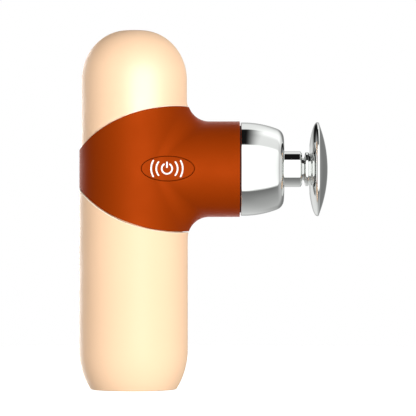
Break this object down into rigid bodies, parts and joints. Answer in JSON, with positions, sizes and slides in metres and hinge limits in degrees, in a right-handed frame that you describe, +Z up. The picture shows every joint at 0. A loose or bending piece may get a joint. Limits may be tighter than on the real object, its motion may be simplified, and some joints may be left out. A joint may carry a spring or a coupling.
{
  "type": "massage gun",
  "caption": "Mini massage gun: capsule body, T-shaped collar with push button, chrome nose cup and reciprocating shaft with a pull-off mushroom head.",
  "frame": {"origin": "on the body's vertical axis, in the plane of the flat base that it stands on", "axes": "+Z up along the body, +X along the branch towards the massage head, -Y the side with the power button"},
  "size_m": [0.1037, 0.0452, 0.15],
  "materials": {
    "cream_shell": "satin",
    "orange_collar": "satin",
    "chrome_trim": "polished",
    "black_rubber": "matte",
    "white_print": "satin",
    "dark_nylon": "matte",
    "white_nylon": "satin",
    "bronze": "satin",
    "steel": "satin",
    "electrical_steel": "satin",
    "copper_winding": "satin",
    "magnet": "satin",
    "machined_aluminium": "satin",
    "circuit_board": "satin",
    "electronic_parts": "satin",
    "flex_film": "satin",
    "wire_insulation": "satin",
    "battery_wrap": "satin",
    "clear_light_pipe": "gloss"
  },
  "bodies": {
    "housing": {"handle_shell": "cream_shell", "base_cap": "cream_shell", "top_shell": "cream_shell", "collar_shell": "orange_collar", "nose_seal_ring": "black_rubber", "nose_cup": "chrome_trim", "shaft_wiper": "black_rubber", "bushing_carrier": "dark_nylon", "linear_bushing": "bronze", "carrier_screws": "steel", "guide_plate": "dark_nylon", "frame_posts": "steel", "motor_plate": "machined_aluminium", "frame_screws": "steel", "motor_damper_ring": "black_rubber", "stator_holder": "machined_aluminium", "stator_core": "electrical_steel", "stator_windings": "copper_winding", "motor_bearings": "steel", "button_board": "circuit_board", "button_switch": "electronic_parts", "button_flex": "flex_film", "control_board": "circuit_board", "board_components": "electronic_parts", "motor_leads": "wire_insulation", "battery_cell_front": "battery_wrap", "battery_cell_rear": "battery_wrap", "lower_battery_tray": "white_nylon", "upper_battery_tray": "white_nylon", "nickel_strips": "steel", "battery_leads": "wire_insulation", "usb_c_socket": "steel", "charge_light_guide": "clear_light_pipe"},
    "rotor": {"rotor_can": "electrical_steel", "rotor_magnets": "magnet", "motor_shaft": "steel", "crank_disc": "steel", "crank_pin": "steel"},
    "slide_block": {"slide_block": "bronze"},
    "glide_button": {"yoke_glide_button": "white_nylon"},
    "plunger": {"yoke": "machined_aluminium", "plunger_shaft": "chrome_trim"},
    "massage_head": {"massage_disc": "chrome_trim", "head_stem": "chrome_trim", "stem_o_ring": "black_rubber"},
    "power_button": {"power_button": "orange_collar", "button_icon": "white_print", "button_actuator": "white_nylon"}
  },
  "joints": [
    {"name": "motor_spin", "type": "hinge", "parent": "housing", "child": "rotor", "pos_m": [0, 0, 0.092], "axis": [0, 0, 1], "continuous": true},
    {"name": "slide_block_turn", "type": "hinge", "parent": "rotor", "child": "slide_block", "pos_m": [0.0035, 0, 0.092], "axis": [0, 0, 1], "continuous": true},
    {"name": "glide_turn", "type": "hinge", "parent": "rotor", "child": "glide_button", "pos_m": [0.00175, 0, 0.092], "axis": [0, 0, 1], "continuous": true},
    {"name": "plunger_turn", "type": "hinge", "parent": "glide_button", "child": "plunger", "pos_m": [0.0035, 0, 0.092], "axis": [0, 0, 1], "continuous": true},
    {"name": "head_pull", "type": "slide", "parent": "plunger", "child": "massage_head", "axis": [1, 0, 0], "range_m": [0, 0.022]},
    {"name": "power_button_press", "type": "slide", "parent": "housing", "child": "power_button", "axis": [0, 1, 0], "range_m": [0, 0.0006], "stiffness_N_per_m": 3000, "springref_m": -0.0003}
  ],
  "couplings": [
    {"joint": "slide_block_turn", "follows": "motor_spin", "ratio": -1},
    {"joint": "glide_turn", "follows": "motor_spin", "ratio": -2},
    {"joint": "plunger_turn", "follows": "motor_spin", "ratio": 1}
  ]
}
